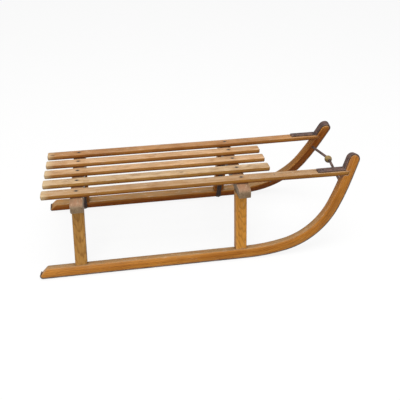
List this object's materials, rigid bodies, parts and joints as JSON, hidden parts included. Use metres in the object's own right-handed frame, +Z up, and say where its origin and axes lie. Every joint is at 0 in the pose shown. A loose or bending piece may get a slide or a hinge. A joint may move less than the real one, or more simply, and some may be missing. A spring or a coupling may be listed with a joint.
{
  "type": "wooden runner sledge",
  "caption": "Wooden runner sledge: splayed bent runners with steel shoes, a slatted seat on braced trestles, and a bowed rod with a loose bead between the horns.",
  "frame": {"origin": "on the ground, at the middle of the length and of the width", "axes": "+X forward to the horns, +Y to the left of a rider facing forward, +Z up"},
  "size_m": [1.0132, 0.4256, 0.3058],
  "materials": {
    "slat_wood": "satin",
    "runner_wood": "satin",
    "post_wood": "satin",
    "crossbar_wood": "matte",
    "bead_wood": "satin",
    "dark_iron": "matte",
    "shoe_steel": "matte",
    "screw_steel": "matte"
  },
  "bodies": {
    "sledge": {"front_brace_foot_screw_left": "screw_steel", "front_brace_foot_screw_right": "screw_steel", "front_brace_left": "dark_iron", "front_brace_post_screw_left": "screw_steel", "front_brace_post_screw_right": "screw_steel", "front_brace_right": "dark_iron", "front_brace_top_screw_left": "screw_steel", "front_brace_top_screw_right": "screw_steel", "front_crossbar": "crossbar_wood", "front_post_left": "post_wood", "front_post_right": "post_wood", "front_rod": "dark_iron", "front_shoe_screw_left": "screw_steel", "front_shoe_screw_right": "screw_steel", "front_slat_screw_inner_left": "screw_steel", "front_slat_screw_inner_right": "screw_steel", "front_slat_screw_middle": "screw_steel", "front_slat_screw_outer_left": "screw_steel", "front_slat_screw_outer_right": "screw_steel", "horn_iron_left": "dark_iron", "horn_iron_right": "dark_iron", "rear_brace_foot_screw_left": "screw_steel", "rear_brace_foot_screw_right": "screw_steel", "rear_brace_left": "dark_iron", "rear_brace_post_screw_left": "screw_steel", "rear_brace_post_screw_right": "screw_steel", "rear_brace_right": "dark_iron", "rear_brace_top_screw_left": "screw_steel", "rear_brace_top_screw_right": "screw_steel", "rear_crossbar": "crossbar_wood", "rear_post_left": "post_wood", "rear_post_right": "post_wood", "rear_shoe_screw_left": "screw_steel", "rear_shoe_screw_right": "screw_steel", "rear_slat_screw_inner_left": "screw_steel", "rear_slat_screw_inner_right": "screw_steel", "rear_slat_screw_middle": "screw_steel", "rear_slat_screw_outer_left": "screw_steel", "rear_slat_screw_outer_right": "screw_steel", "runner_left": "runner_wood", "runner_right": "runner_wood", "runner_shoe_left": "shoe_steel", "runner_shoe_right": "shoe_steel", "slat_inner_left": "slat_wood", "slat_inner_right": "slat_wood", "slat_iron_screw_left": "screw_steel", "slat_iron_screw_right": "screw_steel", "slat_middle": "slat_wood", "slat_outer_left": "slat_wood", "slat_outer_right": "slat_wood"},
    "bead": {"rod_bead": "bead_wood"}
  },
  "joints": [
    {"name": "bead_spin", "type": "hinge", "parent": "sledge", "child": "bead", "pos_m": [0.46169, 0, 0.22285], "axis": [0, 1, 0], "continuous": true}
  ]
}
